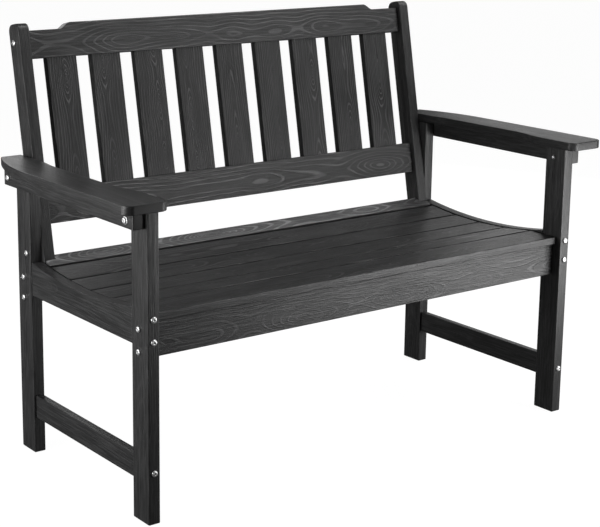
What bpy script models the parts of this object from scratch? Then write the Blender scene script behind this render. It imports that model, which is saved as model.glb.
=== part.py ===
"""Slatted two-seat garden bench, assembled from separate boards and bolts.

Blender 4.5 script, metres, +Z up, +Y to the back, +X along the bench.
The origin is on the ground, under the middle of the bench's bounding box.
"""
import math

import bpy
from mathutils import Matrix, Vector

# ---------------------------------------------------------------- driving dimensions
SPAN = 1.110              # across the outer faces of the legs
DEPTH = 0.504             # front face of the front legs to rear face of the rear legs
FRONT = -0.27115          # y of the front legs' front faces
THICK = 0.0254            # thick board stock
THIN = 0.0168             # thin board stock
BOARD = 0.0708            # width of the wide boards: aprons, back rails, side rails
EDGE = 0.0022             # radius of the rounded board edges
FIT = 0.0003              # gap kept between pieces that touch

LEG_DEPTH = 0.056
LEG_HEIGHT = 0.607

STRETCHER_BOTTOM = 0.0776
STRETCHER_HEIGHT = 0.0492

APRON_TOP = 0.3912
APRON_SETBACK = 0.0226    # front apron's front face behind the legs' front faces
REAR_APRON_SETBACK = 0.0156

DISH_RADIUS = 1.150       # the seat's hollow, as a circle seen from the side
DISH_CENTRE = 0.2545      # distance of its lowest line behind the legs' front faces
DISH_LOW = 0.3962         # height of the seat's lowest line
DISH_PITCH = 0.0808       # slat to slat along the hollow
DISH_SLATS = 4
SEAM = 0.0046
SLAT_HALF_LENGTH = 0.5274
FRONT_SLAT_EDGE = 0.0135  # front slat's front edge behind the legs' front faces
FRONT_SLAT_TOP = 0.4083
REAR_SLAT_WIDTH = 0.0330
REAR_SLAT_TILT = math.radians(25.4)
SLAT_EDGE = 0.0020

SIDE_RAIL_BOTTOM = 0.3434
SIDE_RAIL_INSET = 0.0010  # outer face behind the legs' outer faces
SIDE_RAIL_RISE = 0.0017   # rail top above the slats' tops

BEARER_BOTTOM = 0.3300
CLEAT_BOTTOM = 0.3620
CLEAT_THICK = 0.0168
CLEAT_REAR = 0.4270

RECLINE = math.radians(11.02)
BACK_AXIS_Y = 0.4814      # uprights' front faces, behind the legs' front faces ...
BACK_AXIS_Z = 0.6475      # ... at this height
UPRIGHT_DEPTH = 0.0438
UPRIGHT_TOP = 0.2542      # along the uprights, from the height above
UPRIGHT_BOTTOM = -0.2501
UPRIGHT_ROUND = 0.0150
RAIL_SETBACK = 0.0115     # back rails' front faces behind the uprights' front faces
LOWER_RAIL_BOTTOM = -0.1622
TOP_RAIL_BOTTOM = 0.1805
SHOULDER_DROP = 0.0128
SHOULDER_INNER = 0.400
SHOULDER_OUTER = 0.427
BACK_SLATS = 9
BACK_SLAT_PITCH = 0.1070
BACK_SLAT_WIDTH = 0.0714
TENON = 0.0110

ARM_RAIL_HEIGHT = 0.0359
ARM_RAIL_FRONT = 0.0070
ARM_RAIL_REAR = 0.5070
ARM_THICK = 0.0182
ARM_FRONT = -0.0280
ARM_REAR = 0.5265
ARM_OUTER = 0.6160
ARM_WAIST = 0.5360        # inner edge between the flare and the upright
ARM_PALM = 0.5225         # inner edge at the front
ARM_CORNER = 0.0180
ARM_TAPER_START = 0.3450
ARM_TAPER_RADIUS = 0.4450
FLARE_REAR = 0.4350       # the inner edge swings from the upright to the waist between these
FLARE_FRONT = 0.3720
PALM_REAR = 0.1550        # and from the waist to the palm between these
PALM_FRONT = 0.0680

BOLT_SHANK = 0.0030
BOLT_HOLE = 0.0034
BOLT_HEAD = 0.0062
BOLT_HEAD_HEIGHT = 0.0034
BOLT_SOCKET = 0.0021
BOLT_BITE = 0.0300        # depth a shank reaches into the end of a board
UPRIGHT_BITE = 0.0200     # depth a shank reaches into the side of an upright
WASHER_RADIUS = 0.0077
WASHER_THICK = 0.0013
NUT_RADIUS = 0.0050
NUT_HEIGHT = 0.0052
BOLT_SIDES = 12

# bolt places: heights above the ground, distances behind the legs' front faces
SIDE_RAIL_BOLTS = {"upper": 0.4006, "lower": 0.3573}
APRON_BOLTS = {"upper": 0.3772, "lower": 0.3335}
BACK_BOLT_Y, BACK_BOLT_Z = 0.4640, 0.4310
ARM_FRONT_BOLT_Y, ARM_FRONT_BOLT_Z = 0.0320, 0.5860
ARM_REAR_BOLT_Y, ARM_REAR_BOLT_Z = 0.4890, 0.5880
TOP_RAIL_BOLT = 0.2155    # along the uprights

# derived from the above
LEG_X = SPAN / 2 - THICK / 2
LEG_INNER = SPAN / 2 - THICK
BOARD_HALF = LEG_INNER - FIT
UPRIGHT_X = LEG_INNER - FIT - THICK / 2
UPRIGHT_INNER = UPRIGHT_X - THICK / 2
SIDES = {"left": -1, "right": 1}

LUMBER = ((0.030, 0.030, 0.031, 1.0), 0.52, 0.0)
STEEL = ((0.62, 0.62, 0.63, 1.0), 0.28, 1.0)


# ---------------------------------------------------------------- general helpers
def clear_scene():
    for item in list(bpy.data.objects):
        bpy.data.objects.remove(item, do_unlink=True)


def behind_front(y):
    """World y of a distance behind the front legs' front faces."""
    return FRONT + y


def give_material(item, look):
    colour, roughness, metallic = look
    made = bpy.data.materials.new(item.name + "_material")
    made.use_nodes = True
    shader = made.node_tree.nodes["Principled BSDF"]
    shader.inputs["Base Color"].default_value = colour
    shader.inputs["Roughness"].default_value = roughness
    shader.inputs["Metallic"].default_value = metallic
    made.diffuse_color = colour
    item.data.materials.append(made)


def mesh_object(name, vertices, faces, location=(0, 0, 0), look=None):
    mesh = bpy.data.meshes.new(name)
    mesh.from_pydata([tuple(v) for v in vertices], [], faces)
    mesh.update()
    item = bpy.data.objects.new(name, mesh)
    item.location = location
    bpy.context.scene.collection.objects.link(item)
    if look:
        give_material(item, look)
    return item


def prism(name, outline, axis, low, high, location=(0, 0, 0), look=LUMBER):
    """A counter-clockwise outline pushed along one axis from low to high.

    Seen from the axis's positive end, an outline for X holds (y, z) pairs,
    for Y (z, x) pairs and for Z (x, y) pairs.
    """
    def place(pair, offset):
        spots = {"X": (offset, pair[0], pair[1]), "Y": (pair[1], offset, pair[0]),
                 "Z": (pair[0], pair[1], offset)}
        return spots[axis]

    count = len(outline)
    vertices = [place(pair, low) for pair in outline] + [place(pair, high) for pair in outline]
    faces = [tuple(reversed(range(count))), tuple(range(count, 2 * count))]
    faces += [(i, (i + 1) % count, count + (i + 1) % count, count + i) for i in range(count)]
    return mesh_object(name, vertices, faces, location, look)


def board(name, size, centre, tilt=0.0, look=LUMBER):
    """A box of the given size about its centre, tilted about X."""
    half_y, half_z = size[1] / 2, size[2] / 2
    outline = [(-half_y, -half_z), (half_y, -half_z), (half_y, half_z), (-half_y, half_z)]
    item = prism(name, outline, "X", -size[0] / 2, size[0] / 2, centre, look)
    item.rotation_euler = (tilt, 0, 0)
    return item


def round_edges(item, radius=EDGE, segments=2):
    bevel = item.modifiers.new("rounded edges", "BEVEL")
    bevel.width = radius
    bevel.segments = segments
    bevel.limit_method = "ANGLE"
    bevel.angle_limit = math.radians(35)


def cut(item, cutter):
    """Cut a hidden wire-drawn object out of an item."""
    cutter.hide_render = True
    cutter.display_type = "WIRE"
    boolean = item.modifiers.new("cut " + cutter.name, "BOOLEAN")
    boolean.operation = "DIFFERENCE"
    boolean.object = cutter


def arc(centre, radius, start, end, steps):
    """Points on a circle between two angles in degrees."""
    angles = [math.radians(start + (end - start) * i / steps) for i in range(steps + 1)]
    return [(centre[0] + radius * math.cos(a), centre[1] + radius * math.sin(a)) for a in angles]


def s_curve(start, end, steps):
    """Points of a smooth step between two outline points, without the end points."""
    points = []
    for i in range(1, steps):
        t = i / steps
        ease = (1 - math.cos(math.pi * t)) / 2
        points.append((start[0] + (end[0] - start[0]) * ease, start[1] + (end[1] - start[1]) * t))
    return points


def mirror_outline(outline, side):
    """The outline for one side, kept counter-clockwise."""
    if side > 0:
        return outline
    return [(-x, y) for x, y in reversed(outline)]


# ---------------------------------------------------------------- side frames
def make_legs():
    """Four legs, each a single board on end."""
    for end, y in (("front", LEG_DEPTH / 2), ("rear", DEPTH - LEG_DEPTH / 2)):
        for side_name, side in SIDES.items():
            item = board(f"leg_{end}_{side_name}", (THICK, LEG_DEPTH, LEG_HEIGHT),
                         (side * LEG_X, behind_front(y), LEG_HEIGHT / 2))
            round_edges(item)


def make_stretchers():
    """Low thin boards that tie each front leg to its rear leg."""
    length = DEPTH - 2 * LEG_DEPTH - 2 * FIT
    for side_name, side in SIDES.items():
        item = board(f"stretcher_{side_name}", (THIN, length, STRETCHER_HEIGHT),
                     (side * LEG_X, behind_front(DEPTH / 2), STRETCHER_BOTTOM + STRETCHER_HEIGHT / 2))
        round_edges(item)


def dish_height(y, lift=0.0):
    """Height of the seat's hollow at a distance behind the front, lifted by an amount."""
    reach = y - DISH_CENTRE
    return DISH_LOW + DISH_RADIUS - math.sqrt(DISH_RADIUS ** 2 - reach ** 2) + lift


def make_side_rails():
    """Seat rails between the legs of each side, with a hollowed top edge."""
    front = LEG_DEPTH + FIT
    rear = DEPTH - LEG_DEPTH - FIT
    steps = 12
    outline = [(behind_front(front), SIDE_RAIL_BOTTOM), (behind_front(rear), SIDE_RAIL_BOTTOM)]
    for i in range(steps + 1):
        y = rear + (front - rear) * i / steps
        outline.append((behind_front(y), dish_height(y, SIDE_RAIL_RISE)))
    for side_name, side in SIDES.items():
        faces_x = sorted((side * (LEG_INNER + FIT), side * (SPAN / 2 - SIDE_RAIL_INSET)))
        item = prism(f"side_rail_{side_name}", outline, "X", faces_x[0], faces_x[1])
        round_edges(item)


def make_arm_rails():
    """Short deep boards outside the legs that carry the armrests."""
    length = ARM_RAIL_REAR - ARM_RAIL_FRONT
    for side_name, side in SIDES.items():
        item = board(f"arm_rail_{side_name}", (THICK, length, ARM_RAIL_HEIGHT),
                     (side * (SPAN / 2 + FIT + THICK / 2),
                      behind_front((ARM_RAIL_FRONT + ARM_RAIL_REAR) / 2),
                      LEG_HEIGHT - ARM_RAIL_HEIGHT / 2))
        round_edges(item)


def armrest_outline():
    """Plan of the right armrest: a rounded palm, a waist and a tapered tail."""
    front = behind_front(ARM_FRONT)
    rear = behind_front(ARM_REAR)
    taper = behind_front(ARM_TAPER_START)
    sweep = math.degrees(math.asin((rear - taper) / ARM_TAPER_RADIUS))
    outline = arc((ARM_OUTER - ARM_CORNER, front + ARM_CORNER), ARM_CORNER, -90, 0, 6)
    outline += arc((ARM_OUTER - ARM_TAPER_RADIUS, taper), ARM_TAPER_RADIUS, 0, sweep, 7)
    beside_upright = LEG_INNER + FIT
    outline.append((beside_upright, rear))
    for start_x, end_x, start_y, end_y in ((beside_upright, ARM_WAIST, FLARE_REAR, FLARE_FRONT),
                                           (ARM_WAIST, ARM_PALM, PALM_REAR, PALM_FRONT)):
        start = (start_x, behind_front(start_y))
        end = (end_x, behind_front(end_y))
        outline += [start] + s_curve(start, end, 6) + [end]
    outline += arc((ARM_PALM + ARM_CORNER, front + ARM_CORNER), ARM_CORNER, 180, 270, 6)
    return outline


def make_armrests():
    """Flat boards on top of the legs and arm rails."""
    low = LEG_HEIGHT + FIT
    for side_name, side in SIDES.items():
        outline = mirror_outline(armrest_outline(), side)
        item = prism(f"armrest_{side_name}", outline, "Z", low, low + ARM_THICK)
        round_edges(item)


# ---------------------------------------------------------------- seat
def make_aprons():
    """The long boards under the seat, between the front legs and between the rear legs."""
    rear_y = DEPTH - REAR_APRON_SETBACK - THIN / 2
    for name, y in (("front_apron", APRON_SETBACK + THIN / 2), ("rear_apron", rear_y)):
        item = board(name, (2 * BOARD_HALF, THIN, BOARD),
                     (0, behind_front(y), APRON_TOP - BOARD / 2))
        round_edges(item)


def dish_seams():
    """Angles, from straight down, of the seams between the slats in the hollow."""
    step = DISH_PITCH / DISH_RADIUS
    return [step * (i - DISH_SLATS / 2) for i in range(DISH_SLATS + 1)]


def dish_point(angle, depth=0.0):
    """(y, z) of a point on the hollow, or the given depth under it."""
    reach = DISH_RADIUS + depth
    return (behind_front(DISH_CENTRE) + reach * math.sin(angle),
            DISH_LOW + DISH_RADIUS - reach * math.cos(angle))


def rear_slat_frame():
    """Front top corner of the raised rear slat, and its directions along and down."""
    start = Vector(dish_point(dish_seams()[-1]))
    along = Vector((math.cos(REAR_SLAT_TILT), math.sin(REAR_SLAT_TILT)))
    down = Vector((math.sin(REAR_SLAT_TILT), -math.cos(REAR_SLAT_TILT)))
    return start + along * SEAM, along, down


def make_seat_slats():
    """A level front slat, four that follow the hollow and a raised narrow rear slat."""
    length = 2 * SLAT_HALF_LENGTH
    seams = dish_seams()
    front_edge = behind_front(FRONT_SLAT_EDGE)
    first_seam = dish_point(seams[0])[0] - SEAM
    front = board("seat_slat_1", (length, first_seam - front_edge, THIN),
                  (0, (front_edge + first_seam) / 2, FRONT_SLAT_TOP - THIN / 2))
    round_edges(front, SLAT_EDGE)
    for i in range(DISH_SLATS):
        angle = (seams[i] + seams[i + 1]) / 2
        chord_depth = DISH_RADIUS * (1 - math.cos(DISH_PITCH / DISH_RADIUS / 2))
        y, z = dish_point(angle, THIN / 2 - chord_depth)
        slat = board(f"seat_slat_{i + 2}", (length, DISH_PITCH - SEAM, THIN), (0, y, z), angle)
        round_edges(slat, SLAT_EDGE)
    start, along, down = rear_slat_frame()
    middle = start + along * REAR_SLAT_WIDTH / 2 + down * THIN / 2
    rear = board(f"seat_slat_{DISH_SLATS + 2}", (length, REAR_SLAT_WIDTH, THIN),
                 (0, middle.x, middle.y), REAR_SLAT_TILT)
    round_edges(rear, SLAT_EDGE)
    return rear


def bearer_outline(bottom, front, rear_end):
    """Side view of a bearer whose top follows the undersides of the slats."""
    under = THIN + FIT
    outline = [(front, bottom), (rear_end, bottom)]
    start, along, down = rear_slat_frame()
    tail = start + down * under
    reach = min(REAR_SLAT_WIDTH, (rear_end - tail.x) / along.x)
    tip = tail + along * reach
    outline += [(rear_end, tip.y), (tip.x, tip.y)] if rear_end > tip.x + FIT else [(rear_end, tip.y)]
    outline.append((tail.x, tail.y))
    outline += [dish_point(angle, under) for angle in reversed(dish_seams())]
    outline.append((front, FRONT_SLAT_TOP - under))
    return outline


def make_bearers():
    """Contoured supports under the slats: one in the middle and a cleat on each side rail."""
    front = behind_front(APRON_SETBACK + THIN + FIT)
    rear_end = behind_front(DEPTH - REAR_APRON_SETBACK - THIN - FIT)
    middle = prism("centre_bearer", bearer_outline(BEARER_BOTTOM, front, rear_end),
                   "X", -THICK / 2, THICK / 2)
    round_edges(middle, EDGE / 2, 1)
    outline = bearer_outline(CLEAT_BOTTOM, front, behind_front(CLEAT_REAR))
    for side_name, side in SIDES.items():
        faces_x = sorted((side * (BOARD_HALF - CLEAT_THICK), side * BOARD_HALF))
        cleat = prism(f"slat_cleat_{side_name}", outline, "X", faces_x[0], faces_x[1])
        round_edges(cleat, EDGE / 2, 1)


# ---------------------------------------------------------------- reclined back
def make_back_frame():
    """Empty on the uprights' front plane: its Y is depth and its Z runs up the back."""
    frame = bpy.data.objects.new("back_frame", None)
    frame.location = (0, behind_front(BACK_AXIS_Y), BACK_AXIS_Z)
    frame.rotation_euler = (-RECLINE, 0, 0)
    bpy.context.scene.collection.objects.link(frame)
    return frame


def make_uprights(frame):
    """Side boards of the back, with both top corners rounded."""
    radius = UPRIGHT_ROUND
    outline = [(0, UPRIGHT_BOTTOM), (UPRIGHT_DEPTH, UPRIGHT_BOTTOM)]
    outline += arc((UPRIGHT_DEPTH - radius, UPRIGHT_TOP - radius), radius, 0, 90, 5)
    outline += arc((radius, UPRIGHT_TOP - radius), radius, 90, 180, 5)
    for side_name, side in SIDES.items():
        centre = side * UPRIGHT_X
        item = prism(f"back_upright_{side_name}", outline, "X", centre - THICK / 2, centre + THICK / 2)
        item.parent = frame
        round_edges(item)


def top_rail_outline():
    """(z, x) outline of the top rail: low shelves at the ends and a raised middle."""
    half = UPRIGHT_INNER - FIT
    high = TOP_RAIL_BOTTOM + BOARD
    shelf = high - SHOULDER_DROP
    right = [(SHOULDER_INNER, high)]
    steps = 8
    for i in range(1, steps + 1):
        t = i / steps
        drop = SHOULDER_DROP * (1 - math.cos(math.pi * t)) / 2
        right.append((SHOULDER_INNER + (SHOULDER_OUTER - SHOULDER_INNER) * t, high - drop))
    right.append((half, shelf))
    left = [(-x, z) for x, z in reversed(right)]
    across = [(-half, TOP_RAIL_BOTTOM)] + left + right + [(half, TOP_RAIL_BOTTOM)]
    return [(z, x) for x, z in across]


def back_slat_centres():
    return [(i - (BACK_SLATS - 1) / 2) * BACK_SLAT_PITCH for i in range(BACK_SLATS)]


def mortise_cutter(name, frame, low, high):
    """Boxes for all the back slats' tenons in one rail."""
    depth = RAIL_SETBACK + THICK / 2
    half = (BACK_SLAT_WIDTH / 2 + FIT, THIN / 2 + FIT)
    corners = [(-1, -1), (1, -1), (1, 1), (-1, 1)]
    vertices = []
    faces = []
    for centre in back_slat_centres():
        start = len(vertices)
        for z in (low, high):
            vertices += [(centre + a * half[0], depth + b * half[1], z) for a, b in corners]
        faces.append([start + i for i in (3, 2, 1, 0)])
        faces.append([start + i for i in (4, 5, 6, 7)])
        faces += [[start + i, start + (i + 1) % 4, start + 4 + (i + 1) % 4, start + 4 + i]
                  for i in range(4)]
    cutter = mesh_object(name, vertices, faces)
    cutter.parent = frame
    return cutter


def make_back_rails(frame):
    """Top and lower rails between the uprights, with mortises for the slats."""
    top = prism("back_top_rail", top_rail_outline(), "Y", RAIL_SETBACK, RAIL_SETBACK + THICK)
    lower = board("back_lower_rail", (2 * (UPRIGHT_INNER - FIT), THICK, BOARD),
                  (0, RAIL_SETBACK + THICK / 2, LOWER_RAIL_BOTTOM + BOARD / 2))
    mouth = LOWER_RAIL_BOTTOM + BOARD
    slack = 2 * FIT
    cuts = ((top, "top", TOP_RAIL_BOTTOM - TENON, TOP_RAIL_BOTTOM + TENON + slack),
            (lower, "lower", mouth - TENON - slack, mouth + TENON))
    for rail, label, low, high in cuts:
        rail.parent = frame
        round_edges(rail)
        cut(rail, mortise_cutter(f"cutter_mortises_{label}", frame, low, high))


def make_back_slats(frame):
    """Upright slats, held by tenons in both rails."""
    low = LOWER_RAIL_BOTTOM + BOARD - TENON
    high = TOP_RAIL_BOTTOM + TENON
    for number, centre in enumerate(back_slat_centres(), start=1):
        slat = board(f"back_slat_{number}", (BACK_SLAT_WIDTH, THIN, high - low),
                     (centre, RAIL_SETBACK + THICK / 2, (low + high) / 2))
        slat.parent = frame
        round_edges(slat)


def notch_rear_slat(slat, frame):
    """Clear the rear seat slat around both uprights."""
    clearance = 0.0010
    low, high = UPRIGHT_BOTTOM - clearance, UPRIGHT_BOTTOM + 3 * THICK
    for side_name, side in SIDES.items():
        outline = [(-clearance, low), (UPRIGHT_DEPTH, low), (UPRIGHT_DEPTH, high), (-clearance, high)]
        faces_x = sorted((side * (UPRIGHT_INNER - clearance), side * (LEG_INNER + clearance)))
        cutter = prism(f"cutter_notch_{side_name}", outline, "X", faces_x[0], faces_x[1], look=None)
        cutter.parent = frame
        cut(slat, cutter)


# ---------------------------------------------------------------- fasteners
def lathe(name, profile, sides, look=None):
    """Turn (radius, height) points about local Z; both ends sit on the axis."""
    vertices = [(0, 0, profile[0][1])]
    for radius, height in profile[1:-1]:
        for i in range(sides):
            angle = 2 * math.pi * i / sides
            vertices.append((radius * math.cos(angle), radius * math.sin(angle), height))
    vertices.append((0, 0, profile[-1][1]))
    last = len(vertices) - 1
    rings = len(profile) - 2
    faces = []
    for i in range(sides):
        j = (i + 1) % sides
        faces.append((0, 1 + i, 1 + j))
        for ring in range(rings - 1):
            low = 1 + ring * sides
            faces.append((low + i, low + sides + i, low + sides + j, low + j))
        end = 1 + (rings - 1) * sides
        faces.append((last, end + j, end + i))
    return mesh_object(name, vertices, faces, look=look)


def bolt_profile(shank, washer):
    """Button head with a socket on a plain shank; local +Z points out of the wood."""
    base = WASHER_THICK if washer else 0.0
    top = base + BOLT_HEAD_HEIGHT
    socket_floor = base + 0.45 * BOLT_HEAD_HEIGHT
    crown = (0.66 * BOLT_HEAD, base + 0.86 * BOLT_HEAD_HEIGHT)
    shoulder = (BOLT_HEAD, base + 0.25 * BOLT_HEAD_HEIGHT)
    profile = [(0, socket_floor), (BOLT_SOCKET, socket_floor), (BOLT_SOCKET, top), crown, shoulder]
    if washer:
        profile += [(BOLT_HEAD, base), (WASHER_RADIUS, base), (WASHER_RADIUS, 0)]
    else:
        profile.append((BOLT_HEAD, 0))
    profile += [(BOLT_SHANK, 0), (BOLT_SHANK, -shank), (0, -shank)]
    return [(radius, height + FIT) for radius, height in profile]


def nut_profile():
    """Domed nut; local +Z points out of the wood."""
    crown = (0.6 * NUT_RADIUS, FIT + 0.86 * NUT_HEIGHT)
    shoulder = (NUT_RADIUS, FIT + 0.45 * NUT_HEIGHT)
    return [(0, FIT + NUT_HEIGHT), crown, shoulder, (NUT_RADIUS, FIT), (0, FIT)]


def aim(item, point, outward):
    """Put an item on a face, with its local +Z along the outward direction."""
    item.rotation_euler = Vector(outward).to_track_quat("Z", "Y").to_euler()
    item.location = point


def drill(item, name, point, outward, length):
    """Cut a clearance hole for a shank."""
    margin = 0.0010
    profile = [(0, -length - margin), (BOLT_HOLE, -length - margin), (BOLT_HOLE, 2 * margin),
               (0, 2 * margin)]
    cutter = lathe(name, list(reversed(profile)), BOLT_SIDES)
    aim(cutter, point, outward)
    cut(item, cutter)


def in_back(point):
    """A point in the back frame, moved to world axes."""
    turn = Matrix.Rotation(-RECLINE, 4, "X")
    return Vector((0, behind_front(BACK_AXIS_Y), BACK_AXIS_Z)) + turn @ Vector(point)


def bolt_plan(side_name, side):
    """Each bolt of one side: name, point on the face, outward direction, shank, boards."""
    front_leg = f"leg_front_{side_name}"
    rear_leg = f"leg_rear_{side_name}"
    upright = f"back_upright_{side_name}"
    outward = (side, 0, 0)
    forward = (0, -1, 0)
    leg_face = side * SPAN / 2
    arm_face = side * (SPAN / 2 + FIT + THICK)
    through_leg = LEG_DEPTH + BOLT_BITE
    into_end = THICK + BOLT_BITE
    apron_y = behind_front(APRON_SETBACK + THIN / 2)
    rear_apron_y = behind_front(DEPTH - REAR_APRON_SETBACK - THIN / 2)
    stretcher_z = STRETCHER_BOTTOM + STRETCHER_HEIGHT / 2
    top_bolt = in_back((side * (LEG_INNER - FIT), RAIL_SETBACK + THICK / 2, TOP_RAIL_BOLT))
    plan = []
    for label, z in SIDE_RAIL_BOLTS.items():
        plan.append((f"bolt_side_rail_{label}", (side * LEG_X, FRONT, z), forward, through_leg,
                     (front_leg, f"side_rail_{side_name}")))
    plan.append(("bolt_stretcher", (side * LEG_X, FRONT, stretcher_z), forward, through_leg,
                 (front_leg, f"stretcher_{side_name}")))
    for label, z in APRON_BOLTS.items():
        plan.append((f"bolt_front_apron_{label}", (leg_face, apron_y, z), outward, into_end,
                     (front_leg, "front_apron")))
        plan.append((f"bolt_rear_apron_{label}", (leg_face, rear_apron_y, z), outward, into_end,
                     (rear_leg, "rear_apron")))
    plan.append(("bolt_back_lower", (leg_face, behind_front(BACK_BOLT_Y), BACK_BOLT_Z), outward,
                 THICK + UPRIGHT_BITE, (rear_leg, upright)))
    plan.append(("bolt_arm_front", (arm_face, behind_front(ARM_FRONT_BOLT_Y), ARM_FRONT_BOLT_Z),
                 outward, 2 * THICK + 2 * FIT, (f"arm_rail_{side_name}", front_leg)))
    plan.append(("bolt_arm_rear", (arm_face, behind_front(ARM_REAR_BOLT_Y), ARM_REAR_BOLT_Z),
                 outward, 2 * THICK + UPRIGHT_BITE, (f"arm_rail_{side_name}", rear_leg, upright)))
    plan.append(("bolt_top_rail", tuple(top_bolt), outward, into_end, (upright, "back_top_rail")))
    return plan


def make_fasteners():
    """Bolts with their clearance holes, and the nuts of the front arm bolts."""
    for side_name, side in SIDES.items():
        for label, point, outward, shank, boards in bolt_plan(side_name, side):
            name = f"{label}_{side_name}"
            washer = label == "bolt_arm_front"
            bolt = lathe(name, bolt_profile(shank, washer), BOLT_SIDES, STEEL)
            aim(bolt, point, outward)
            for board_name in boards:
                item = bpy.data.objects[board_name]
                drill(item, f"cutter_{name}_{board_name}", point, outward, shank)
        nut = lathe(f"nut_arm_{side_name}", nut_profile(), BOLT_SIDES, STEEL)
        nut_spot = (side * LEG_INNER, behind_front(ARM_FRONT_BOLT_Y), ARM_FRONT_BOLT_Z)
        aim(nut, nut_spot, (-side, 0, 0))


def main():
    clear_scene()
    make_legs()
    make_stretchers()
    make_side_rails()
    make_arm_rails()
    make_armrests()
    make_aprons()
    rear_slat = make_seat_slats()
    make_bearers()
    frame = make_back_frame()
    make_uprights(frame)
    make_back_rails(frame)
    make_back_slats(frame)
    notch_rear_slat(rear_slat, frame)
    make_fasteners()


main()
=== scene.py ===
"""Looks of the garden bench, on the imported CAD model.

Every board keeps its CAD shape and gets a procedural poly-lumber material laid along its own
length. Every bolt and nut is replaced by a finer one with a hexagonal socket.
"""
import math
import random

import bpy
from mathutils import Matrix, Vector


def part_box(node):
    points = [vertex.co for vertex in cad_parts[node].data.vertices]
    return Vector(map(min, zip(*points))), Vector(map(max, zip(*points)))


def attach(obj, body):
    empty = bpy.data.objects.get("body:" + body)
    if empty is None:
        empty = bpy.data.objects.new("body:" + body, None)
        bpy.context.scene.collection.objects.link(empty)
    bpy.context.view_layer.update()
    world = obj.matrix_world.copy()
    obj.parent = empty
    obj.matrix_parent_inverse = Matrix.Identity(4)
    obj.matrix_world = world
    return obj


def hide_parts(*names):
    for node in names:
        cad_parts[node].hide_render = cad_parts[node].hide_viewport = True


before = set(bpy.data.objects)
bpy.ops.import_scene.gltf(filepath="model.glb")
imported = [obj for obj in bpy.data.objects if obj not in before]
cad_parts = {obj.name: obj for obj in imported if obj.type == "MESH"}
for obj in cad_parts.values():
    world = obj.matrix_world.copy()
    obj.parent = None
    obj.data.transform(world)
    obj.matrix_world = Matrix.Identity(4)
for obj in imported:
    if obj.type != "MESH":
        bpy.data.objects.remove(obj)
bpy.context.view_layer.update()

# ---------------------------------------------------------------- camera and studio
CAMERA_PLACE = (-1.9682, -2.5159, 1.2002)
CAMERA_YAW = math.radians(35.31)
CAMERA_PITCH = math.radians(12.33)
CAMERA_ROLL = math.radians(0.27)
CAMERA_LENS = 91.0
CAMERA_SHIFT = (0.1207, -0.1007)

FLOOR_HALF = 14.0
FLOOR_GREY = 0.06
FLOOR_GLOW = 0.97
FILL_LIGHT = 0.068
SOFT_BOXES = (              # name, place, point it faces, side length, watts
    ("high_right_box", (1.24, -0.3, 2.85), (0.0, 0.0, 0.45), 1.2, 33.0),
    ("front_right_box", (1.56, -1.56, 2.0), (0.0, 0.0, 0.45), 1.3, 14.0),
    ("left_box", (-1.7, 0.3, 0.7), (-0.5, 0.0, 0.4), 0.9, 15.0),
    ("near_left_box", (-1.9, -0.2, 0.5), (-0.6, -0.1, 0.5), 0.7, 6.0),
    ("near_right_box", (1.0, -0.9, 0.3), (0.5, -0.3, 0.4), 0.5, 4.6),
    ("low_front_box", (0.9, -1.5, 0.2), (0.5, -0.3, 0.4), 0.6, 8.5),
    ("rear_right_box", (2.69, 1.26, 0.87), (0.0, 0.0, 0.45), 1.6, 8.0),
    ("rear_box", (0.1, 2.6, 1.6), (0.0, 0.0, 0.45), 1.6, 13.0),
)

# ---------------------------------------------------------------- poly lumber
RING_SPACING = 0.0036       # between growth rings, this far from their centre line ...
RING_RADIUS = 0.010         # ... and wider further out
RING_POWER = 0.55           # 1 would keep the rings' spacing the same everywhere
PITH_DEPTH = 0.010          # how far the rings' centre line lies from the board's middle
PITH_WANDER = 0.045         # how far that line moves up and down along the board
FIBRE_LENGTH = 0.080        # of one fine streak
FIBRE_WIDTH = 0.0026        # of one fine streak
FRAYING = 1.4               # how far fibres push a ring about, in radians of its wave
GRAIN_RELIEF = 0.00035      # height of the embossed grain
PITH_SCALE = 4.0            # turns of that line per metre, as a noise scale
WARP_SCALE = (4.0, 22.0, 22.0)        # noise scales along, across and through a board ...
WARP_REACH = (0.0, 0.016, 0.012)      # ... and how far it bends the fibres
PATCH_SCALE = (5.0, 30.0, 30.0)
CLOUD_SCALE = (14.0, 50.0, 50.0)
SPECK_SCALE = 900.0
STREAK_RANGE = (0.40, 0.68)           # fibre noise that makes no streak, and a full one
CREST_RANGE = (0.45, 0.97)            # ring wave that makes no line, and a full one
PATCH_RANGE = (0.35, 0.62)
CLOUD_RANGE = (0.30, 0.62)
WIDE_RANGE = (0.80, 0.98)             # how squarely a surface faces out of the wide side
END_RANGE = (0.0002, 0.0016)          # distance from a sawn end where the grain fades in
EDGE_RANGE = (0.985, 0.80)            # from a flat face to a rounded edge
FAINT_RINGS = 0.30                    # what is left of the rings in a faint patch
FAINT_EDGE = 0.35                     # what is left of the edges' wear and painted highlight in a dark cloud
STREAK_HEIGHT = 0.55                  # parts of the relief
SPECK_HEIGHT = 0.08
RELIEF_LIGHT = 0.44                   # parts of the way from dark to light grey
CLOUD_LIGHT = 0.08
# rounded edges painted lighter: partly wear, partly a painted highlight
EDGE_WEAR_AND_HIGHLIGHT = 0.16
LUMBER_ROUGHNESS = 0.34
CLOUD_ROUGHNESS = 0.14                # changes to the roughness
RELIEF_ROUGHNESS = -0.05
EDGE_ROUGHNESS = -0.06
LUMBER_IOR = 1.50
DARK_GREY = (0.011, 0.011, 0.0112, 1.0)
LIGHT_GREY = (0.130, 0.130, 0.131, 1.0)
RING_STRENGTH = {           # how strongly rings show on a board, 1 where not listed
    "back_lower_rail": 2.4,
    "leg": 0.2,
    "back_upright": 0.2,
    "arm_rail": 0.2,
    "armrest": 0.2,
    "stretcher": 0.2,
    "side_rail": 0.2,
    "seat_slat": 1.0,
    "back_top_rail": 0.9,
    "back_slat": 1.6,
    "front_apron": 0.8,
}
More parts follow.
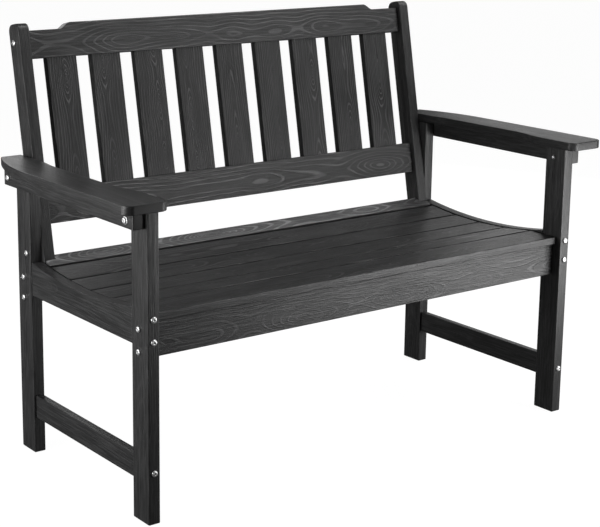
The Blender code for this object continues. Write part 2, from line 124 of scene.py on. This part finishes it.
PAINTED_LIGHT_FACTOR = {              # colour factor that paints light (above 1) or shade (below 1) that the studio's lamps don't give there, 1 where not listed
    "back_lower_rail": 0.80,
    "seat_slat_6": 3.0,
}
SMOOTH_ANGLE = math.radians(40)       # edges flatter than this are shaded smooth
WELD_DISTANCE = 0.00002

# ---------------------------------------------------------------- fasteners
HEAD_POINTS = 48            # points round a bolt head
SOCKET_HALF = 0.0020        # half the socket's width across its flats
HEAD_RADIUS = 0.0062
HEAD_HEIGHT = 0.0034
SHANK_RADIUS = 0.0029
REAR_SHANK = 0.0060         # how far the shank of an added head goes into its leg
WASHER_RADIUS = 0.0077
WASHER_HOLE = 0.0032
WASHER_THICK = 0.0013
WASHER_EDGE = 0.0003
CLOSE = 0.0003              # a CAD bolt wider than a head by more than this has a washer
CRISP_ANGLE = math.radians(50)        # edges sharper than this are split
STEEL_DARK = (0.78, 0.78, 0.78, 1.0)
STEEL_LIGHT = (0.92, 0.92, 0.92, 1.0)
STEEL_ROUGHNESS = 0.34
DULL_ROUGHNESS = 0.20       # added in a dull patch
DULL_SCALE = 420.0
SCRATCH_SCALE = (1400.0, 1400.0, 9000.0)
SCRATCH_DEPTH = 0.00003
SCRATCH_STRENGTH = 0.6


class Graph:
    """Adds nodes to a tree, with sockets given as values or as links."""

    def __init__(self, tree):
        self.tree = tree

    def add(self, kind, inputs=None, **settings):
        node = self.tree.nodes.new(kind)
        for name, value in settings.items():
            setattr(node, name, value)
        for name, value in (inputs or {}).items():
            if isinstance(value, bpy.types.NodeSocket):
                self.tree.links.new(value, node.inputs[name])
            else:
                node.inputs[name].default_value = value
        return node

    def math(self, operation, *values, clamp=False):
        inputs = dict(enumerate(values))
        return self.add("ShaderNodeMath", inputs, operation=operation, use_clamp=clamp).outputs[0]

    def vector(self, operation, *values):
        return self.add("ShaderNodeVectorMath", dict(enumerate(values)), operation=operation).outputs[0]

    def noise(self, place, scale, detail=2.0, roughness=0.5):
        inputs = {"Vector": place, "Scale": scale, "Detail": detail, "Roughness": roughness}
        return self.add("ShaderNodeTexNoise", inputs).outputs["Fac"]

    def ramp(self, value, low, high, to_low=0.0, to_high=1.0):
        inputs = {"Value": value, "From Min": low, "From Max": high, "To Min": to_low, "To Max": to_high}
        return self.add("ShaderNodeMapRange", inputs, interpolation_type="SMOOTHSTEP").outputs["Result"]

    def blend(self, factor, low, high):
        """A colour between two others; the mix node's colour sockets come after its number ones."""
        inputs = {0: factor, 6: low, 7: high}
        return self.add("ShaderNodeMix", inputs, data_type="RGBA").outputs[2]


def grain_group():
    """Embossed wood grain for a board that lies along X, is wide along Y and thick along Z.

    Growth rings are cylinders about a line that wanders under the board's face, so they cut
    the face in long ovals and pointed arches. Fine fibres run along them and fray them, and
    the rounded edges are smoother and painted a little lighter, partly as wear and partly as a
    painted highlight.
    """
    tree = bpy.data.node_groups.new("embossed grain", "ShaderNodeTree")
    sockets = (
        ("Place", "INPUT", "NodeSocketVector"), ("Facing", "INPUT", "NodeSocketVector"),
        ("Shift", "INPUT", "NodeSocketVector"), ("Half Length", "INPUT", "NodeSocketFloat"),
        ("Rings", "INPUT", "NodeSocketFloat"), ("Tone", "INPUT", "NodeSocketFloat"),
        ("Color", "OUTPUT", "NodeSocketColor"), ("Roughness", "OUTPUT", "NodeSocketFloat"),
        ("Normal", "OUTPUT", "NodeSocketVector"),
    )
    for name, way, kind in sockets:
        tree.interface.new_socket(name, in_out=way, socket_type=kind)
    g = Graph(tree)
    given = g.add("NodeGroupInput").outputs
    place = g.vector("ADD", given["Place"], given["Shift"])

    # the board's fibres, slightly bent
    warp_place = g.vector("MULTIPLY", place, WARP_SCALE)
    warp_noise = g.add("ShaderNodeTexNoise", {"Vector": warp_place, "Scale": 1.0, "Detail": 2.0})
    warp = warp_noise.outputs["Color"]
    warp = g.vector("SUBTRACT", warp, (0.5, 0.5, 0.5))
    bent = g.vector("ADD", place, g.vector("MULTIPLY", warp, WARP_REACH))
    across = 1 / FIBRE_WIDTH
    fibre_place = g.vector("MULTIPLY", bent, (1 / FIBRE_LENGTH, across, across))
    fibre = g.noise(fibre_place, 1.0, 4.0, 0.62)
    streak = g.ramp(fibre, *STREAK_RANGE)

    # rings about a wandering line
    parts = g.add("ShaderNodeSeparateXYZ", {"Vector": bent}).outputs
    along = g.add("ShaderNodeCombineXYZ", {"X": parts["X"]}).outputs["Vector"]
    wander = g.math("SUBTRACT", g.noise(along, PITH_SCALE, 1.0), 0.5)
    depth = g.math("ADD", parts["Z"], PITH_DEPTH)
    depth = g.math("ADD", depth, g.math("MULTIPLY", wander, 2 * PITH_WANDER))
    radius = g.math("SQRT", g.math("ADD", g.math("MULTIPLY", parts["Y"], parts["Y"]),
                                   g.math("MULTIPLY", depth, depth)))
    fray = g.math("MULTIPLY", g.math("SUBTRACT", fibre, 0.5), FRAYING)
    spread = g.math("POWER", g.math("DIVIDE", radius, RING_RADIUS), RING_POWER)
    turns = RING_RADIUS / RING_SPACING / RING_POWER
    wave = g.math("SINE", g.math("MULTIPLY_ADD", spread, 2 * math.pi * turns, fray))
    crest = g.ramp(wave, *CREST_RANGE)

    # slow changes along the board
    patch = g.ramp(g.noise(g.vector("MULTIPLY", place, PATCH_SCALE), 1.0, 2.0), *PATCH_RANGE)
    cloud = g.noise(g.vector("MULTIPLY", place, CLOUD_SCALE), 1.0, 3.0)
    speck = g.noise(place, SPECK_SCALE, 2.0, 0.7)

    # rings show on the wide faces only, and sawn ends carry no embossing at all
    turned = g.add("ShaderNodeSeparateXYZ", {"Vector": g.vector("ABSOLUTE", given["Facing"])}).outputs
    wide = g.ramp(turned["Z"], *WIDE_RANGE)
    raw = g.add("ShaderNodeSeparateXYZ", {"Vector": given["Place"]}).outputs["X"]
    from_end = g.math("SUBTRACT", given["Half Length"], g.math("ABSOLUTE", raw))
    face = g.ramp(from_end, *END_RANGE)

    # rounded edges, painted lighter partly as wear and partly as a painted highlight, are where the
    # surface turns between two of the board's axes
    most = g.math("MAXIMUM", turned["X"], g.math("MAXIMUM", turned["Y"], turned["Z"]))
    wear_and_highlight_fade = g.ramp(cloud, *CLOUD_RANGE, FAINT_EDGE, 1.0)
    edge = g.math("MULTIPLY", g.ramp(most, *EDGE_RANGE), wear_and_highlight_fade)

    rings = g.math("MULTIPLY", crest, g.ramp(patch, 0.0, 1.0, FAINT_RINGS, 1.0))
    rings = g.math("MULTIPLY", g.math("MULTIPLY", rings, wide), given["Rings"])
    relief = g.math("MULTIPLY", g.math("MULTIPLY_ADD", streak, STREAK_HEIGHT, rings), face)
    height = g.math("MULTIPLY_ADD", speck, SPECK_HEIGHT, relief)
    bump = g.add("ShaderNodeBump", {"Height": height, "Distance": GRAIN_RELIEF, "Strength": 1.0})

    light = g.math("MULTIPLY_ADD", relief, RELIEF_LIGHT, g.math("MULTIPLY", cloud, CLOUD_LIGHT))
    # rounded edges painted lighter: partly wear, partly a painted highlight
    light = g.math("MULTIPLY_ADD", edge, EDGE_WEAR_AND_HIGHLIGHT, light)
    colour = g.blend(light, DARK_GREY, LIGHT_GREY)
    # the colour is scaled by a factor that paints light or shade onto some boards
    painted_light_colour = g.add("ShaderNodeVectorMath", {0: colour, "Scale": given["Tone"]}, operation="SCALE")
    roughness = g.math("MULTIPLY_ADD", cloud, CLOUD_ROUGHNESS, LUMBER_ROUGHNESS)
    roughness = g.math("MULTIPLY_ADD", relief, RELIEF_ROUGHNESS, roughness)
    roughness = g.math("MULTIPLY_ADD", edge, EDGE_ROUGHNESS, roughness)
    g.add("NodeGroupOutput", {"Color": painted_light_colour.outputs[0], "Roughness": roughness,
                              "Normal": bump.outputs["Normal"]})
    return tree


def board_frame(item):
    """Middle, turn to world axes (length, width, thickness) and half sizes of a board."""
    looks = []
    for face in item.data.polygons:
        for entry in looks:
            if abs(entry[0].dot(face.normal)) > 0.9995:
                entry[1] += face.area
                break
        else:
            looks.append([face.normal.copy(), face.area])
    looks.sort(key=lambda entry: -entry[1])
    first = looks[0][0]
    second = next(entry[0] for entry in looks if abs(entry[0].dot(first)) < 0.02)
    spans = []
    for axis in (first, second, first.cross(second)):
        reach = [axis.dot(vertex.co) for vertex in item.data.vertices]
        if max(axis, key=abs) < 0:
            axis = -axis
            reach = [-value for value in reach]
        spans.append((max(reach) - min(reach), (max(reach) + min(reach)) / 2, axis))
    spans.sort(key=lambda span: -span[0])
    length, width = spans[0][2], spans[1][2]
    turn = Matrix((length, width, length.cross(width))).transposed()
    middle = sum((span[1] * span[2] for span in spans), Vector())
    return middle, turn, [span[0] / 2 for span in spans]


def listed(table, name):
    """The value listed for the start of a board's name, or 1."""
    for start, value in table.items():
        if name.startswith(start):
            return value
    return 1.0


def lumber_material(item, group, draw):
    """Poly lumber whose grain runs along one board, shifted to a stretch of its own."""
    middle, turn, half = board_frame(item)
    made = bpy.data.materials.new("poly_lumber_" + item.name)
    made.use_nodes = True
    g = Graph(made.node_tree)
    shader = made.node_tree.nodes["Principled BSDF"]
    spot = g.add("ShaderNodeTexCoord").outputs
    to_board = turn.transposed()
    rotation = to_board.to_euler("XYZ")
    place = g.add("ShaderNodeMapping", {"Vector": spot["Object"], "Location": -(to_board @ middle),
                                        "Rotation": rotation}).outputs["Vector"]
    facing = g.add("ShaderNodeMapping", {"Vector": spot["Normal"], "Rotation": rotation},
                   vector_type="VECTOR").outputs["Vector"]
    shift = (draw.uniform(2.0, 9.0), draw.uniform(-0.4, 0.4) * half[1], 0.0)
    look = g.add("ShaderNodeGroup", {}, node_tree=group)
    made.node_tree.links.new(place, look.inputs["Place"])
    made.node_tree.links.new(facing, look.inputs["Facing"])
    look.inputs["Shift"].default_value = shift
    look.inputs["Half Length"].default_value = half[0]
    look.inputs["Rings"].default_value = listed(RING_STRENGTH, item.name)
    # a factor that paints light or shade onto this board, in place of lamp light
    look.inputs["Tone"].default_value = listed(PAINTED_LIGHT_FACTOR, item.name)
    for socket, output in (("Base Color", "Color"), ("Roughness", "Roughness"), ("Normal", "Normal")):
        made.node_tree.links.new(look.outputs[output], shader.inputs[socket])
    shader.inputs["IOR"].default_value = LUMBER_IOR
    return made


def smooth_group():
    """Geometry nodes that shade the rounds smooth and keep the other edges crisp."""
    tree = bpy.data.node_groups.new("shade smooth", "GeometryNodeTree")
    tree.interface.new_socket("Geometry", in_out="INPUT", socket_type="NodeSocketGeometry")
    tree.interface.new_socket("Geometry", in_out="OUTPUT", socket_type="NodeSocketGeometry")
    g = Graph(tree)
    given = g.add("NodeGroupInput").outputs["Geometry"]
    faces = g.add("GeometryNodeSetShadeSmooth", {"Geometry": given}).outputs["Geometry"]
    angle = g.add("GeometryNodeInputMeshEdgeAngle").outputs["Unsigned Angle"]
    flat = g.math("LESS_THAN", angle, SMOOTH_ANGLE)
    edges = g.add("GeometryNodeSetShadeSmooth", {"Geometry": faces, "Shade Smooth": flat}, domain="EDGE")
    g.add("NodeGroupOutput", {"Geometry": edges.outputs["Geometry"]})
    return tree


def dress_boards():
    """Give each board its material, and shade its rounded edges smoothly."""
    grain = grain_group()
    smooth = smooth_group()
    draw = random.Random(11)
    for name, item in sorted(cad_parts.items()):
        if name.startswith(("bolt_", "nut_")):
            continue
        item.material_slots[0].material = lumber_material(item, grain, draw)
        weld = item.modifiers.new("weld", "WELD")
        weld.merge_threshold = WELD_DISTANCE
        shade = item.modifiers.new("shade smooth", "NODES")
        shade.node_group = smooth
        even = item.modifiers.new("even normals", "WEIGHTED_NORMAL")
        even.keep_sharp = True
        even.weight = 95


# ---------------------------------------------------------------- bolts
def hexagon(angle, half):
    """Distance from the middle to the side of a hexagon, half its width across its flats."""
    sector = math.pi / 3
    return half / math.cos((angle + sector / 2) % sector - sector / 2)


def turned_piece(name, rings, place, outward):
    """Rings of (kind, size, height) joined into one closed skin about the outward direction."""
    vertices = [(0, 0, rings[0][2])]
    for kind, size, height in rings:
        for i in range(HEAD_POINTS):
            angle = 2 * math.pi * i / HEAD_POINTS
            reach = hexagon(angle, size) if kind == "hexagon" else size
            vertices.append((reach * math.cos(angle), reach * math.sin(angle), height))
    vertices.append((0, 0, rings[-1][2]))
    last = len(vertices) - 1
    faces = []
    for i in range(HEAD_POINTS):
        j = (i + 1) % HEAD_POINTS
        faces.append((0, 1 + i, 1 + j))
        for ring in range(len(rings) - 1):
            low = 1 + ring * HEAD_POINTS
            faces.append((low + i, low + HEAD_POINTS + i, low + HEAD_POINTS + j, low + j))
        end = last - HEAD_POINTS
        faces.append((last, end + j, end + i))
    mesh = bpy.data.meshes.new(name)
    mesh.from_pydata(vertices, [], faces)
    for face in mesh.polygons:
        face.use_smooth = True
    item = bpy.data.objects.new(name, mesh)
    item.rotation_euler = Vector(outward).to_track_quat("Z", "Y").to_euler()
    item.location = place
    bpy.context.scene.collection.objects.link(item)
    split = item.modifiers.new("crisp edges", "EDGE_SPLIT")
    split.split_angle = CRISP_ANGLE
    return item


def button_head(radius, height, base, shank_radius, shank):
    """Rings of a domed head with a hexagonal socket, from the socket's floor to the shank's tip."""
    floor = base + 0.35 * height
    top = base + height
    rings = [("hexagon", SOCKET_HALF, floor), ("hexagon", SOCKET_HALF, top - 0.0003),
             ("hexagon", SOCKET_HALF + 0.0003, top)]
    rings.append(("round", 0.50 * radius, top))
    side = base + 0.28 * height
    for step in range(1, 7):
        turn = math.pi / 2 * step / 6
        rings.append(("round", radius * (0.50 + 0.50 * math.sin(turn)),
                      side + (top - side) * math.cos(turn)))
    rings += [("round", radius, base + 0.0002), ("round", radius - 0.0002, base)]
    rings += [("round", shank_radius, base - 0.0001), ("round", shank_radius, -shank)]
    return rings


def washer_rings():
    """Rings of a flat washer with slightly broken edges."""
    outer = WASHER_RADIUS - WASHER_EDGE
    return [("round", WASHER_HOLE, 0.0), ("round", outer, 0.0),
            ("round", WASHER_RADIUS, WASHER_EDGE),
            ("round", WASHER_RADIUS, WASHER_THICK - WASHER_EDGE),
            ("round", outer, WASHER_THICK), ("round", WASHER_HOLE, WASHER_THICK)]


def steel_material():
    """Stainless steel with faint turning marks and a few dull patches."""
    made = bpy.data.materials.new("turned_steel")
    made.use_nodes = True
    g = Graph(made.node_tree)
    shader = made.node_tree.nodes["Principled BSDF"]
    spot = g.add("ShaderNodeTexCoord").outputs["Object"]
    patches = g.noise(spot, DULL_SCALE, 3.0)
    scratches = g.noise(g.vector("MULTIPLY", spot, SCRATCH_SCALE), 1.0, 2.0)
    roughness = g.math("MULTIPLY_ADD", patches, DULL_ROUGHNESS, STEEL_ROUGHNESS)
    tint = g.blend(patches, STEEL_DARK, STEEL_LIGHT)
    bump = g.add("ShaderNodeBump", {"Height": scratches, "Distance": SCRATCH_DEPTH,
                                    "Strength": SCRATCH_STRENGTH}).outputs["Normal"]
    for socket, value in (("Base Color", tint), ("Roughness", roughness), ("Normal", bump)):
        made.node_tree.links.new(value, shader.inputs[socket])
    shader.inputs["Metallic"].default_value = 1.0
    return made


def fastener_frame(node):
    """Tip of the head, outward direction, length and widest radius of a bolt, from its CAD box."""
    low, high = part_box(node)
    size = high - low
    middle = (low + high) / 2
    outward = Vector((0, -1, 0))
    if size.x > size.y:
        outward = Vector((math.copysign(1, middle.x), 0, 0))
    length = max(size)
    return middle + outward * length / 2, outward, length, min(size) / 2


def finish_fastener(piece, steel):
    piece.data.materials.append(steel)
    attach(piece, "root")


def add_rear_heads(steel):
    """Heads on the rear legs' rear faces, level with those on the front legs' front faces."""
    for side in ("left", "right"):
        leg_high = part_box("leg_rear_" + side)[1]
        for bolt in ("side_rail_upper", "side_rail_lower", "stretcher"):
            tip = fastener_frame("bolt_" + bolt + "_" + side)[0]
            name = "head_rear_" + bolt + "_" + side
            rings = button_head(HEAD_RADIUS, HEAD_HEIGHT, 0.0, SHANK_RADIUS, REAR_SHANK)
            finish_fastener(turned_piece(name, rings, (tip.x, leg_high.y, tip.z), (0, 1, 0)), steel)


def dome_nut(node):
    """A nut with a hexagonal collar and a domed end, turned towards the bench's middle."""
    low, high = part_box(node)
    middle = (low + high) / 2
    inward = Vector((-math.copysign(1, middle.x), 0, 0))
    length = high.x - low.x
    radius = (high.y - low.y) / 2
    rings = [("round", 0.0004, length), ("round", 0.45 * radius, 0.93 * length),
             ("round", 0.72 * radius, 0.74 * length), ("hexagon", 0.82 * radius, 0.56 * length),
             ("hexagon", 0.86 * radius, 0.50 * length), ("hexagon", 0.86 * radius, 0.0)]
    return turned_piece("dome_" + node, rings, middle - inward * length / 2, inward)


def socket_bolt(node, steel):
    """A button-head bolt, with a washer of its own where the CAD bolt is wider than a head."""
    tip, outward, length, radius = fastener_frame(node)
    washer = WASHER_THICK if radius > HEAD_RADIUS + CLOSE else 0.0
    seat = tip - outward * (HEAD_HEIGHT + washer)
    shank = length - HEAD_HEIGHT - washer
    rings = button_head(HEAD_RADIUS, HEAD_HEIGHT, washer, SHANK_RADIUS, shank)
    piece = turned_piece("head_" + node, rings, seat, outward)
    if washer:
        finish_fastener(turned_piece("washer_" + node, washer_rings(), seat, outward), steel)
    return piece


def dress_fasteners(steel):
    """Replace each CAD bolt and nut by a finer one."""
    for node in sorted(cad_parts):
        if node.startswith("nut_"):
            piece = dome_nut(node)
        elif node.startswith("bolt_"):
            piece = socket_bolt(node, steel)
        else:
            continue
        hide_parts(node)
        finish_fastener(piece, steel)


# ---------------------------------------------------------------- studio
def make_camera():
    data = bpy.data.cameras.new("camera")
    data.lens = CAMERA_LENS
    data.sensor_width = 36.0
    data.shift_x, data.shift_y = CAMERA_SHIFT
    data.clip_end = 60.0
    item = bpy.data.objects.new("camera", data)
    item.location = CAMERA_PLACE
    turn = (Matrix.Rotation(-CAMERA_YAW, 3, "Z") @ Matrix.Rotation(math.pi / 2 - CAMERA_PITCH, 3, "X")
            @ Matrix.Rotation(CAMERA_ROLL, 3, "Z"))
    item.rotation_euler = turn.to_euler()
    bpy.context.scene.collection.objects.link(item)
    bpy.context.scene.camera = item


def make_floor():
    """A pale floor that only the camera sees, so that it sends no light back up."""
    mesh = bpy.data.meshes.new("studio_floor")
    corners = [(-FLOOR_HALF, -FLOOR_HALF, 0), (FLOOR_HALF, -FLOOR_HALF, 0),
               (FLOOR_HALF, FLOOR_HALF, 0), (-FLOOR_HALF, FLOOR_HALF, 0)]
    mesh.from_pydata(corners, [], [(0, 1, 2, 3)])
    floor = bpy.data.objects.new("studio_floor", mesh)
    bpy.context.scene.collection.objects.link(floor)
    floor.visible_diffuse = False
    floor.visible_glossy = False
    made = bpy.data.materials.new("pale_floor")
    made.use_nodes = True
    shader = made.node_tree.nodes["Principled BSDF"]
    shader.inputs["Base Color"].default_value = (FLOOR_GREY, FLOOR_GREY, FLOOR_GREY, 1.0)
    shader.inputs["Roughness"].default_value = 0.9
    shader.inputs["Emission Color"].default_value = (1.0, 1.0, 1.0, 1.0)
    shader.inputs["Emission Strength"].default_value = FLOOR_GLOW
    mesh.materials.append(made)


def make_world():
    """White where the camera sees it, and a dim even fill on the object."""
    world = bpy.data.worlds.new("studio")
    world.use_nodes = True
    tree = world.node_tree
    g = Graph(tree)
    fill = tree.nodes["Background"]
    fill.inputs["Color"].default_value = (1.0, 1.0, 1.0, 1.0)
    fill.inputs["Strength"].default_value = FILL_LIGHT
    white = g.add("ShaderNodeBackground", {"Color": (1.0, 1.0, 1.0, 1.0), "Strength": 1.0})
    seen = g.add("ShaderNodeLightPath").outputs["Is Camera Ray"]
    mixed = g.add("ShaderNodeMixShader", {0: seen, 1: fill.outputs[0], 2: white.outputs[0]})
    tree.links.new(mixed.outputs[0], tree.nodes["World Output"].inputs["Surface"])
    bpy.context.scene.world = world


def soft_box(name, place, target, size, power):
    data = bpy.data.lights.new(name, "AREA")
    data.shape = "SQUARE"
    data.size = size
    data.energy = power
    item = bpy.data.objects.new(name, data)
    item.location = place
    item.rotation_euler = (Vector(target) - Vector(place)).to_track_quat("-Z", "Y").to_euler()
    item.visible_camera = False
    bpy.context.scene.collection.objects.link(item)


def make_lights():
    for name, place, target, size, power in SOFT_BOXES:
        soft_box(name, place, target, size, power)


def main():
    make_camera()
    make_floor()
    make_world()
    make_lights()
    dress_boards()
    steel = steel_material()
    dress_fasteners(steel)
    add_rear_heads(steel)
    bpy.context.scene.view_settings.view_transform = "Standard"


main()
